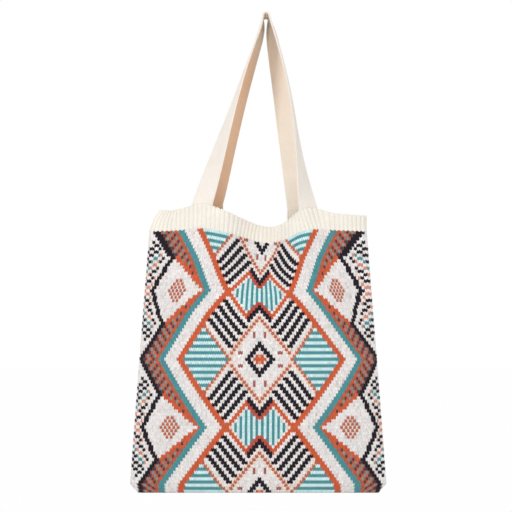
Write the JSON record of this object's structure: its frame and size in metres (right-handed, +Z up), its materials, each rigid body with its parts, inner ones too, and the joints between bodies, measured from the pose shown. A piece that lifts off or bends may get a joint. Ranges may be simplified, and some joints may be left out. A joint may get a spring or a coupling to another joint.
{
  "type": "knitted jacquard tote bag",
  "caption": "Open-mouthed knitted shoulder bag with a ribbed band and long straps, hanging by the straps; carries light goods.",
  "frame": {"origin": "underside of the straps where a hook carries them", "axes": "+Z up, -Y towards the viewer of the bag's front, +X to that viewer's right"},
  "size_m": [0.3628, 0.0805, 0.6779],
  "materials": {
    "jacquard_knit": "multicolour cotton jacquard knit, matt",
    "rib_knit": "cream cotton rib knit, matt",
    "strap_knit": "cream fine-gauge cotton knit, matt"
  },
  "bodies": {
    "root": {"jacquard_body": "jacquard_knit", "ribbed_band": "rib_knit", "front_strap": "strap_knit", "back_strap": "strap_knit"}
  },
  "joints": []
}
